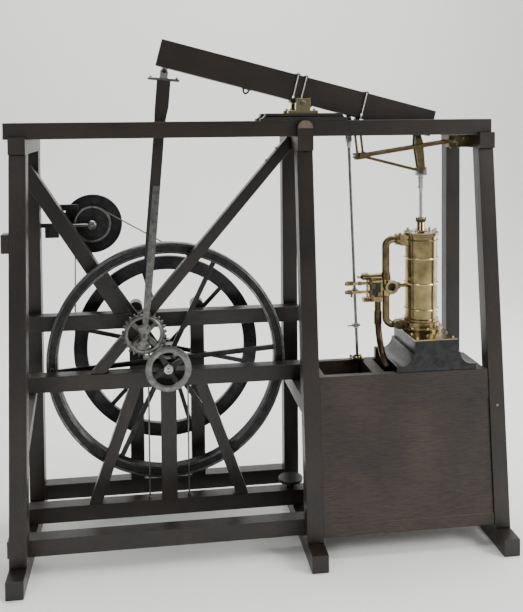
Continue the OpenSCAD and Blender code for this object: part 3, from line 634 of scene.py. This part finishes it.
class ENGINE_OT_gear_fastenings(bpy.types.Operator):
    """Filed faces and hub of the gear wheels, and the keys, fine lips painted pale as highlights, and eye on
    the flywheel's rim
    """

    bl_idname = "engine.gear_fastenings"
    bl_label = "Gear fastenings"

    def execute(self, context):
        iron, grey = material("Blacked cast iron"), material("Filed grey iron")
        bright = material("Bright steel")
        hub = [(0, 0), (8.6, 0), (8.8, 3.0), (7.8, 4.4), (5.2, 4.8), (4.6, 2.6), (2.8, 2.6), (2.6, 6.4),
               (1.6, 7.0), (0, 7.0)]
        make("sun_collar", [turned(hub, SHAFT + 3.9 * Y, -Y, 36)], "shaft_body", bright)
        face = ring([(29.9, 0), (41.5, 0), (41.5, 0.5), (40.6, 1.1), (31.0, 1.1), (29.9, 0.5)],
                    SHAFT + 4.1 * Y, -Y, 96)
        make("sun_face", [face], "shaft_body", grey)
        face = ring([(28.2, 0), (33.4, 0), (33.4, 0.5), (32.4, 1.3), (29.2, 1.3), (28.2, 0.5)],
                    PLANET + 6.1 * Y, -Y, 96)
        make("planet_face", [face], "planet_body", grey)
        keys = []
        for a in np.radians(4 + 60 * np.arange(6)):
            out, up = math.cos(a) * X + math.sin(a) * Z, -math.sin(a) * X + math.cos(a) * Z
            for side in (-8.6, 8.6):
                place = FLYWHEEL + side * Y + RIM_INSIDE * out
                keys.append(block((0, -1.7, -5), (16, 1.7, 5), out, up, place))
        make("flywheel_keys", keys, "shaft_body", iron)
        # thin lips on both faces of the rim, in the pale filed iron: a painted highlight for the light lines
        # along its edges
        lips = []
        for side in (-1, 1):
            for r in (201.4, 203.8, 217.2, 219.6):
                lips.append(ring([(r - 0.7, 0), (r - 0.4, 0.4), (r, 0.55), (r + 0.4, 0.4), (r + 0.7, 0)],
                                 FLYWHEEL + side * FLYWHEEL_HALF * Y, side * Y, 160))
        make("rim_lines_painted_highlight", lips, "shaft_body", grey)
        a = math.radians(182)
        eye = FLYWHEEL - (FLYWHEEL_HALF + 0.1) * Y + RIM_MIDDLE * (math.cos(a) * X + math.sin(a) * Z)
        make("rim_eye", [ring([(2.4, 0), (4.6, 0), (4.6, 1.6), (2.4, 1.6)], eye, -Y, 24)], "shaft_body",
             bright)
        return {"FINISHED"}


class ENGINE_OT_drum_fittings(bpy.types.Operator):
    """Axle and knob of the belt drum, its raised rims, and the bars that hold it"""

    bl_idname = "engine.drum_fittings"
    bl_label = "Drum fittings"

    def execute(self, context):
        iron, grey = material("Blacked cast iron"), material("Filed grey iron")
        knob = [(0, -1), (6.4, -1), (8.6, 0.6), (9.2, 3.4), (8.4, 6.2), (6.0, 8.2), (3.2, 9.0), (0, 9.2)]
        centre = DRUM - 11.6 * Y
        parts = [turned(knob, centre, -Y, 36), tube([centre - 5 * Y - 36 * X, centre - 5 * Y], 3.1, 20)]
        make("drum_axle", parts, "frame", grey)
        rim = ring([(31.6, 0), (35.9, 0), (35.9, 0.4), (35.1, 0.9), (32.4, 0.9), (31.6, 0.4)],
                   DRUM - 4.1 * Y, -Y, 72)
        make("pulley_rim", [rim], "drum_body", grey)
        edge = ring([(53.4, 0), (57.0, 0), (57.0, 0.9), (56.2, 1.5), (54.2, 1.5), (53.4, 0.9)],
                    DRUM + 4.1 * Y, -Y, 96)
        make("drum_edge", [edge], "drum_body", iron)
        bars = [block((-61, -10.5, 28), (-25, -1.5, 40), origin=DRUM, chamfer=0.8),
                block((-92, -11, 30), (-56, -3, 38), origin=DRUM, chamfer=0.8)]
        make("drum_bars", bars, "frame", iron)
        return {"FINISHED"}


# Cylinder and valve

class ENGINE_OT_cylinder(bpy.types.Operator):
    """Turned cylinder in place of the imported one, with its flanges, beads, cover, ports and bed plate"""

    bl_idname = "engine.cylinder"
    bl_label = "Cylinder"

    def execute(self, context):
        # (radius, height) from the foot for the barrel, and from the top for the cover
        barrel = [(0, 2.4), (38.5, 2.4), (39, 2.9), (39, 7), (38.5, 7.5), (34.2, 7.5), (33.5, 8.2),
                  (33.5, 16.8), (32.8, 17.5), (30.2, 17.5), (29.5, 18.4), (29.5, 176.3), (30.2, 177),
                  (32, 177), (32.5, 177.5), (32.5, 179.8), (0, 179.8)]
        cover = [(0, 0), (32.1, 0), (32.5, 0.4), (32.5, 2.6), (32.1, 3), (12, 3), (12, 4.6), (11.5, 5),
                 (5.8, 5), (5.8, 21), (6.6, 21), (6.6, 29.6), (6.2, 30), (0, 30)]
        bead = [(29.4, -1.6), (31.4, -1.5), (32.1, -0.8), (32.3, 0), (32.1, 0.8), (31.4, 1.5), (29.4, 1.6)]
        upper_port, lower_port = ((-43.5, -10, 159), (-20, 10, 179)), ((-39.5, -9, 1.5), (-20, 9, 20.5))
        bed_plate = ((-39.5, -84, 0), (39.5, 42, 2.5))
        parts = [turned(barrel, CYLINDER_FOOT, Z, 160), turned(cover, CYLINDER_TOP, Z, 160)]
        for low, high in (upper_port, lower_port, bed_plate):
            parts.append(block(low, high, origin=CYLINDER_FOOT, chamfer=0.6))
        body = make("cylinder_turned", parts, "frame", material("Turned brass"))
        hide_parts("cylinder", "cylinder_cover")
        # the beads take the palest brass: a painted highlight for the bright lines along them
        beads = [ring(bead, CYLINDER_FOOT + height * Z, Z, 160) for height in (40.5, 88.5, 135.5)]
        make("cylinder_beads_painted_highlight", beads, "frame", material("Polished brass and painted highlight"))
        return {"FINISHED"}


class ENGINE_OT_cylinder_fittings(bpy.types.Operator):
    """Bolts round the cylinder's flanges, gland with its studs, narrow bands and the bead of the plinth"""

    bl_idname = "engine.cylinder_fittings"
    bl_label = "Cylinder fittings"

    def execute(self, context):
        iron, brass = material("Blacked cast iron"), material("Turned brass")
        parts = []
        for a in np.radians(18 + 36 * np.arange(10)):
            place = CYLINDER_TOP + (28.4 * math.cos(a), 28.4 * math.sin(a), 3.0)
            parts += bolt(place, Z, fittings().cover_bolt / MM)
        # the foot's flange has no bolt on the side of the port
        for a in np.radians([-90, -45, 0, 45, 90, 135, 225]):
            parts += bolt(CYLINDER_FOOT + (36.2 * math.cos(a), 36.2 * math.sin(a), 7.4), Z, 1.4)
        for x, y in ((-33, -76), (33, -76), (33, -44), (-33, -44), (33, 34), (-33, 34)):
            parts += bolt(CYLINDER_FOOT + (x, y, 2.4), Z, 1.2)
        for x, y, high in ((-24, -14, 5.0), (25, -8, 8.0), (19, -19, 6.0), (-20, 18, 6.0), (22, 16, 6.0)):
            place = CYLINDER_TOP + (x, y, 3.0)
            parts += [stud(place, Z, 1.7, high), nut(place + (high - 3.2) * Z, Z, 5.6, 2.4)]
        make("cylinder_bolts", parts, "frame", material("Bright steel"))
        well = [(5.6, 0), (8.4, 0), (8.4, 2.0), (7.7, 3.0), (7.7, 15.5), (7.0, 16.5), (5.6, 16.5)]
        make("gland_body", [ring(well, CYLINDER_TOP + 4.8 * Z, Z)], "frame", brass)
        collar = [(6.4, 0), (9.0, 0), (9.4, 0.8), (9.4, 3.2), (8.6, 4.0), (6.4, 4.0)]
        parts = [ring(collar, CYLINDER_TOP + 22.2 * Z, Z)]
        for x in (-8.6, 8.6):
            parts.append(stud(CYLINDER_TOP + (x, 0, 21.5), Z, 1.5, 8.0))
        make("gland_flange", parts, "frame", iron)
        band = [(29.3, 0), (31.4, 0), (31.9, 0.8), (31.4, 1.6), (29.3, 1.6)]
        bands = [ring(band, CYLINDER_FOOT + height * Z, Z, 96) for height in (22.0, 168.5)]
        make("cylinder_bands", bands, "frame", brass)
        bead = block((-40.2, -84.7, -0.9), (40.2, 42.7, 0.9), origin=CYLINDER_FOOT - 23 * Z, chamfer=0.5)
        make("plinth_bead", [bead], "frame", iron)
        return {"FINISHED"}


class ENGINE_OT_valve_fittings(bpy.types.Operator):
    """Flange bolts of the pipes and valve, the valve's face ring and the gear that the plug rod works"""

    bl_idname = "engine.valve_fittings"
    bl_label = "Valve fittings"

    def execute(self, context):
        iron, brass = material("Blacked cast iron"), material("Cast brass")
        port = VALVE + (7.5, -13.0, 0)
        face = [(6.4, -1), (12.4, -1), (12.9, 0), (12.9, 1.6), (12.0, 2.6), (8.0, 2.6), (6.4, 1.2)]
        make("valve_face", [ring(face, port, -Y, 64)], "frame", brass)
        # a dark iron disc behind the face ring: painted shade for the depth of the bore
        make("valve_bore_painted_shade", [disc(port + 3.9 * Y, -Y, 6.5, 0.6, 48)], "frame", iron)
        parts = []
        for y, z in ((-7.6, 90.5), (-7.6, 82.5), (7.6, 90.5), (7.6, 82.5)):
            parts += bolt(VALVE + (18.4, y, z), -X, 1.0)
        parts += bolt(VALVE + (26.5, -4, 95.5), Z, 1.5)
        for y, z in ((-6.5, -65.5), (6.5, -65.5), (-7.6, -78.1)):
            parts += bolt(VALVE + (22.4, y, z), -X, 1.0)
        for a in np.radians(45 + 90 * np.arange(4)):
            parts += bolt(VALVE + (19 + 5.2 * math.cos(a), -14, -70.5 + 5.2 * math.sin(a)), -Y, 0.9)
        for x in (-31, -12):
            for z in (-17.5, 7.5):
                parts += bolt(VALVE + (x, -9.0, z), -Y, 1.1)
        make("pipe_bolts", parts, "frame", material("Dulled steel"))
        rest = VALVE + (-44, 0, 18)
        collars = ((-1.2, 6.6), (6, 6.4), (27, 6.4), (32.5, 6.6))
        parts = [disc(rest + x * X, X, radius, 2.0) for x, radius in collars]
        parts += [nut(rest - 1.2 * X, -X, 7.0, 3.2),
                  tube([rest - 7 * X, rest - 1.0 * X], 1.6),
                  turned([(0, 0), (2.4, 0.4), (3.2, 2.2), (2.4, 4.0), (0, 4.4)], rest - 6.5 * X, -X, 20)]
        make("valve_spindle", parts, "frame", brass)
        # a thin dark iron sheet behind the levers: painted shade for the recess in the chest's face
        recess = block((-32, -9.6, -18.5), (-12, -8.6, 8.5), origin=VALVE, chamfer=0.3)
        make("valve_recess_painted_shade", [recess], "frame", iron)
        lever_blocks = (((-77, -14.2, 5.5), (-66, -7.6, 13)), ((-76, -14.2, -11), (-68, -7.6, -3)),
                        ((-70, -14, -16.5), (-66.5, -9, -7.5)), ((-56, -13.8, 5.1), (-49, -8.2, 12.1)),
                        ((-32, -13.5, -3.5), (-24, -9.4, 6.5)), ((-19, -12.5, -17.5), (-12.5, -9.4, -9.5)),
                        ((-33, -12.5, -19), (-25, -9.4, -13.5)))
        parts = [block(low, high, origin=VALVE, chamfer=0.7) for low, high in lever_blocks]
        knob = [(0, 0), (2.2, 0.2), (3.4, 2.0), (3.6, 3.6), (2.6, 5.4), (0, 6.0)]
        for z in (8.5, -7.5):
            parts += [turned(knob, VALVE + (-75, -10.75, z), -X, 20),
                      disc(VALVE + (-34, -12.95, z), -Y, 3.6, 3.2, 20)]
            parts += bolt(VALVE + (-34, -15.95, z), -Y, 1.2)
        parts += [tube([VALVE + (-30, -10.8, -26.5), VALVE + (-30, -10.8, 14.5)], 1.5),
                  tube([VALVE + (-39, -10.8, -24.5), VALVE + (-39, -10.8, 14.5)], 1.2),
                  tube([VALVE + (-44, -8, -24), VALVE + (-26, -8, -24)], 2.4, 16)]
        parts += [disc(VALVE + (-30, -10.8, z), Z, 2.6, 1.6, 16) for z in (-25, -13.5, 1.5, 13.5)]
        make("lever_fittings", parts, "frame", material("Dull brass"))
        return {"FINISHED"}


# Linkage and frame

class ENGINE_OT_linkage_fittings(bpy.types.Operator):
    """Nuts and collars of the parallel motion, crosshead and plug rod"""

    bl_idname = "engine.linkage_fittings"
    bl_label = "Linkage fittings"

    def execute(self, context):
        steel, bright = material("Dulled steel"), material("Bright steel")
        parts = []
        for side in (-1, 1):
            parts.append(nut(CROSSHEAD + side * 10.8 * Y, side * Y, 7.0, 2.6))
            parts.append(stud(CROSSHEAD + side * 13.2 * Y, side * Y, 1.9, 1.8))
        make("crosshead_nuts", parts, "parallel_bars_body", steel)
        parts = [turned([(0, 0), (3.6, 0), (3.6, 3.0), (2.8, 4.2), (0, 4.8)], CROSSHEAD + 7.9 * Z, Z, 24),
                 ring([(3.3, 0), (6.2, 0), (6.2, 2.4), (3.3, 2.4)], CROSSHEAD - 31 * Z, Z, 28),
                 ring([(3.3, 0), (5.8, 0), (5.8, 2.0), (3.3, 2.0)], CROSSHEAD - 13 * Z, Z, 28)]
        make("crosshead_cap", parts, "piston_body", bright)
        parts = [nut(KNEE_PIN + side * 11.4 * Y, side * Y, 5.6, 1.4) for side in (-1, 1)]
        for z in (-3, 3):
            for y in (-4.5, 4.5):
                parts.append(nut(KNEE_PIN + (-10.4, y, z), -X, 3.6, 3.0))
        down = (KNEE_PIN - BACK_PIN) / np.linalg.norm(KNEE_PIN - BACK_PIN)
        for side in (-5.2, 5.2):
            for far in (15.2, 56.6):
                place = BACK_PIN + far * down + side * np.array([-down[2], 0.0, down[0]])
                parts.append(disc(place, -down, 3.3, 1.6, 20))
        make("knee_nuts", parts, "back_link_body", steel)
        parts = [nut(BAR_PIN + side * 15.9 * Y, side * Y, 6.2, 1.2) for side in (-1, 1)]
        for x in (-3, 14):
            parts += bolt(BAR_PIN + (x, -5.0, 9.8), Z, 1.1) + bolt(BAR_PIN + (x, -5.0, -12.2), -Z, 1.1)
        for x, z in ((8, -5), (20, 3)):
            parts += bolt(BAR_PIN + (x, -9.0, z), -Y, 1.6)
        make("bracket_nuts", parts, "frame", steel)
        guide = PLUG_PIN + (GUIDE_TOP - PLUG_PIN[2]) / PLUG_DOWN[2] * PLUG_DOWN
        parts = [ring([(6.4, 0), (8.6, 0), (8.6, 2.0), (7.4, 4.4), (6.4, 4.4)], guide, Z, 32)]
        for x in (-9.4, 9.4):
            parts += bolt(guide + (x, 13.0, 0), Z, 1.2)
        make("guide_bush", parts, "frame", material("Cast brass"))
        collar = [(0, 0), (4.4, 0), (4.4, 1.0), (3.8, 2.4), (0, 2.4)]
        parts = [turned(collar, PLUG_PIN + (tappet + step) * PLUG_DOWN, PLUG_DOWN, 24)
                 for tappet in (318.0, 382.0) for step in (-4.6, 2.2)]
        socket = [(0, 0), (4.2, 0), (4.4, 4.0), (3.4, 12.0), (0, 12.0)]
        parts.append(turned(socket, PLUG_PIN + 40.6 * PLUG_DOWN, PLUG_DOWN, 24))
        make("plug_rod_collars", parts, "plug_rod_body", bright)
        return {"FINISHED"}


class ENGINE_OT_frame_fastenings(bpy.types.Operator):
    """Bolts of the brace and bearings, nuts of the tie rods and the end grain of the middle block"""

    bl_idname = "engine.frame_fastenings"
    bl_label = "Frame fastenings"

    def execute(self, context):
        parts = []
        for x, z in ((-37.5, 700.5), (-56.6, 678.2)):
            parts += bolt(np.array([x, 40.0, z]), np.array([-0.76, 0, 0.65]), 1.5)
        depth = (TIE_RODS_LOW[1] + TIE_RODS_HIGH[1]) / 2
        for x in (-36, 36):
            parts += bolt(np.array([SHAFT[0] + x, depth, TIE_RODS_LOW[2]]), Z, 1.7)
            parts += bolt(np.array([SHAFT[0] + x, depth, TIE_RODS_HIGH[2]]), -Z, 1.7)
        for y in (-23.5, 23.5):
            for x in (-21, 21):
                parts += bolt(TRUNNION + (x, y, -12.7), Z, 1.6)
        for x in (-9, 9):
            parts += bolt(np.array([SHAFT[0] + x, 37.0, BEARING_TOP]), Z, 1.8)
        # the one stud that shows low on the right front post, whose face leans back as it rises
        height = 242.0
        post_face = POST_FOOT[1] + (height - POST_FOOT[2]) * math.tan(POST_RAKE)
        parts.append(stud(np.array([RIGHT_POST, post_face + 0.4, height]), -Y, 2.6, 1.2))
        make("frame_bolts", parts, "frame", material("Dulled steel"))
        arch = [(13.4 * math.cos(a), 13.4 * math.sin(a)) for a in np.linspace(0, math.pi, 25)]
        front = np.array([(x, -49.9, 739.0 + z) for x, z in [(13.4, -0.4), *arch, (-13.4, -0.4)]])
        make("end_grain_cap", [slab(front, front + 0.9 * Y)], "frame", material("Oak end grain"))
        return {"FINISHED"}


# Studio, panel and run

class ENGINE_OT_studio(bpy.types.Operator):
    """Pale floor and backdrop, soft light and the camera"""

    bl_idname = "engine.studio"
    bl_label = "Studio"

    def execute(self, context):
        s = context.scene.engine_studio
        # one sheet of paper: flat under the engine, a quarter circle behind it, and up the wall, sunk
        # so little that the feet still seem to stand on it
        half, back, rise, bend, sunk = 6.0, 2.6, 5.0, 0.8, 0.0002
        turn = np.linspace(0, math.pi / 2, 24)
        curve = np.stack([back - bend + bend * np.sin(turn), bend - bend * np.cos(turn)], 1)
        line = np.concatenate([[[-half, 0.0]], curve, [[back, rise]]])
        grid = np.array([[(x, y, z - sunk) for y, z in line] for x in (-half, half)])
        mesh = bpy.data.meshes.new("sweep")
        mesh.from_pydata(grid.reshape(-1, 3).tolist(), [], grid_faces(2, len(line), False, False).tolist())
        mesh.shade_smooth()
        sweep = bpy.data.objects.new("sweep", mesh)
        context.scene.collection.objects.link(sweep)
        paper, _, shader = new_material("Studio paper")
        shader.inputs["Base Color"].default_value = linear(s.floor)
        shader.inputs["Roughness"].default_value = 0.9
        mesh.materials.append(paper)

        world = bpy.data.worlds.new("Studio")
        world.use_nodes = True
        tree = world.node_tree
        sky = tree.nodes["Background"]
        sky.inputs["Color"].default_value = linear("#F4F4F4")
        # the room is dim in front and on the left, and bright behind and on the right, as by a window
        window_side = (0.59, 0.81, 0.12)
        sight = add(tree, "ShaderNodeTexCoord").outputs["Generated"]
        toward = add(tree, "ShaderNodeVectorMath", {0: sight, 1: window_side},
                     operation="DOT_PRODUCT").outputs["Value"]
        glow = add(tree, "ShaderNodeMapRange",
                   {"Value": toward, "From Min": -0.14, "From Max": 0.14,
                    "To Min": s.room, "To Max": s.window},
                   interpolation_type="SMOOTHSTEP")
        tree.links.new(glow.outputs[0], sky.inputs["Strength"])
        context.scene.world = world
        for name, place, aim, width, power in (
            ("key", (2.0, -1.3, 1.5), (0.1, 0.0, 0.45), 0.9, 50.0),
            ("fill", (-1.6, -2.0, 1.6), (0.0, 0.0, 0.4), 0.8, 18.0),
            ("side", (2.1, 0.5, 0.6), (0.1, 0.0, 0.45), 1.0, 16.0),
            ("top", (0.0, 0.3, 2.6), (0.0, 0.0, 0.4), 1.8, 30.0),
            ("backdrop", (0.0, 0.9, 2.9), (0.0, 2.6, 0.9), 2.4, 70.0),
        ):
            light = bpy.data.lights.new(name, "AREA")
            light.size = width
            light.energy = power
            lamp = bpy.data.objects.new(name, light)
            context.scene.collection.objects.link(lamp)
            back_z = np.array(place) - np.array(aim)
            back_z /= np.linalg.norm(back_z)
            right = np.cross(Z, back_z)
            right /= np.linalg.norm(right)
            lamp.matrix_world = matrix(right, np.cross(back_z, right), back_z, place)

        level = math.cos(s.dip)
        ahead = np.array([math.sin(s.yaw) * level, math.cos(s.yaw) * level, -math.sin(s.dip)])
        right = np.array([math.cos(s.yaw), -math.sin(s.yaw), 0.0])
        down = np.cross(ahead, right)
        rolled_right = math.cos(s.roll) * right + math.sin(s.roll) * down
        rolled_down = -math.sin(s.roll) * right + math.cos(s.roll) * down
        lens = bpy.data.cameras.new("camera")
        lens.sensor_fit = "HORIZONTAL"
        lens.sensor_width = 36.0
        lens.lens = s.lens
        lens.shift_y = s.shift
        camera = bpy.data.objects.new("camera", lens)
        context.scene.collection.objects.link(camera)
        camera.matrix_world = matrix(rolled_right, -rolled_down, -ahead, s.place)
        context.scene.camera = camera
        return {"FINISHED"}


def matrix(x, y, z, place):
    """The 4 by 4 matrix whose columns are three axes and a place."""
    return Matrix([[*row, p] for row, p in zip(np.stack([x, y, z], 1).tolist(), place)] + [[0, 0, 0, 1]])


class ENGINE_PT_panel(bpy.types.Panel):
    bl_label = "Beam engine"
    bl_idname = "ENGINE_PT_panel"
    bl_space_type = "VIEW_3D"
    bl_region_type = "UI"
    bl_category = "Beam engine"

    def draw(self, context):
        for name in STEPS:
            self.layout.operator("engine." + name)
        for name, group in GROUPS.items():
            box = self.layout.box()
            for key in group.__annotations__:
                box.prop(getattr(context.scene, name), key)


GROUPS = {"engine_finish": EngineFinish, "engine_fittings": EngineFittings, "engine_studio": EngineStudio}
OPERATORS = [
    ENGINE_OT_timber, ENGINE_OT_tank, ENGINE_OT_metal, ENGINE_OT_beam_fastenings, ENGINE_OT_rod_strap,
    ENGINE_OT_rod_fastenings, ENGINE_OT_gear_fastenings, ENGINE_OT_drum_fittings, ENGINE_OT_cylinder,
    ENGINE_OT_cylinder_fittings, ENGINE_OT_valve_fittings, ENGINE_OT_linkage_fittings,
    ENGINE_OT_frame_fastenings, ENGINE_OT_studio,
]
STEPS = [item.bl_idname.split(".")[1] for item in OPERATORS]


def register():
    for item in [*GROUPS.values(), *OPERATORS, ENGINE_PT_panel]:
        bpy.utils.register_class(item)
    for name, group in GROUPS.items():
        setattr(bpy.types.Scene, name, bpy.props.PointerProperty(type=group))


def unregister():
    for name in GROUPS:
        delattr(bpy.types.Scene, name)
    for item in [ENGINE_PT_panel, *reversed(OPERATORS), *reversed(GROUPS.values())]:
        bpy.utils.unregister_class(item)


def main():
    register()
    for name in STEPS:
        getattr(bpy.ops.engine, name)()


if __name__ == "__main__":
    main()
